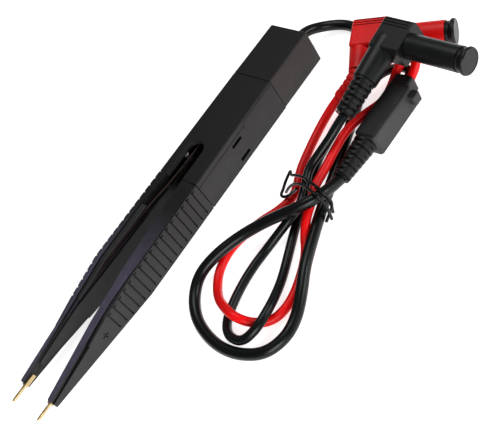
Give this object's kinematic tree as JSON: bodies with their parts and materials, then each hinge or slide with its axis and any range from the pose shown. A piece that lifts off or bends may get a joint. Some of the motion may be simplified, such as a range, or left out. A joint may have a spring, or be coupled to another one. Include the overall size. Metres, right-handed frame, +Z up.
{
  "type": "component test tweezers with leads",
  "caption": "Two-needle tweezers for surface-mounted parts, with a cable, a splitter, and a red and a black capped safety plug on short leads held by a twist tie.",
  "frame": {"origin": "under the middle of the tweezers, on the surface they lie on, cords left out", "axes": "+Y from the needles to the cable end, +X to the plus arm's side, +Z up"},
  "size_m": [0.1123, 0.2344, 0.0287],
  "materials": {
    "case_black": "fine matte texture",
    "cap_black": "fine matte texture",
    "grip_grey": "matte",
    "arm_black": "satin",
    "plate_grey": "satin",
    "rubber_black": "satin",
    "steel": "brushed",
    "spring_steel": "satin",
    "gold": "polished",
    "brass": "polished",
    "wire_orange": "gloss",
    "cable_black": "gloss",
    "lead_red": "gloss",
    "lead_black": "gloss",
    "splitter_grey": "satin",
    "tie_black": "gloss",
    "plug_red": "gloss",
    "plug_black": "gloss"
  },
  "bodies": {
    "handle": {"end_cap": "cap_black", "upper_cover": "case_black", "lower_shell": "case_black", "cover_screws": "steel", "cable_grommet": "rubber_black", "cable_end": "cable_black", "cable_clamp": "case_black", "clamp_screws": "steel", "pivot_pins": "steel", "return_spring": "spring_steel", "main_cable": "cable_black", "red_lead": "lead_red", "black_lead": "lead_black", "twist_tie": "tie_black", "splitter_body": "splitter_grey", "splitter_boot": "rubber_black", "splitter_clip": "splitter_grey", "plus_link_wire": "wire_orange", "minus_link_wire": "wire_orange", "red_plug_body": "plug_red", "red_plug_relief": "plug_red", "red_plug_shroud": "plug_red", "red_plug_pin": "brass", "red_plug_spring": "brass", "black_plug_body": "plug_black", "black_plug_relief": "plug_black", "black_plug_shroud": "plug_black", "black_plug_pin": "brass", "black_plug_spring": "brass"},
    "plus_jaw": {"plus_arm": "arm_black", "plus_grip": "grip_grey", "plus_inner_plate": "plate_grey", "plus_contact_holder": "gold", "plus_needle": "gold", "plus_wire": "wire_orange"},
    "minus_jaw": {"minus_arm": "arm_black", "minus_grip": "arm_black", "minus_inner_plate": "plate_grey", "minus_contact_holder": "gold", "minus_needle": "gold", "minus_wire": "wire_orange", "minus_rail": "plate_grey"},
    "red_cap": {"red_plug_cap": "plug_black"},
    "black_cap": {"black_plug_cap": "plug_black"}
  },
  "joints": [
    {"name": "plus_pivot", "type": "hinge", "parent": "handle", "child": "plus_jaw", "pos_m": [0.0075, 0.0273, 0.0085], "axis": [0, 0, -1], "range_deg": [0, 3.8], "stiffness_Nm_per_rad": 1.2},
    {"name": "minus_pivot", "type": "hinge", "parent": "handle", "child": "minus_jaw", "pos_m": [-0.0075, 0.0273, 0.0085], "axis": [0, 0, 1], "range_deg": [0, 3.8], "stiffness_Nm_per_rad": 1.2},
    {"name": "red_cap_slide", "type": "slide", "parent": "handle", "child": "red_cap", "axis": [0.8939, 0.436, -0.1045], "range_m": [0, 0.025]},
    {"name": "black_cap_slide", "type": "slide", "parent": "handle", "child": "black_cap", "axis": [0.9994, -0.0349, 0], "range_m": [0, 0.025]}
  ],
  "couplings": [
    {"joint": "minus_pivot", "follows": "plus_pivot", "ratio": 1}
  ]
}
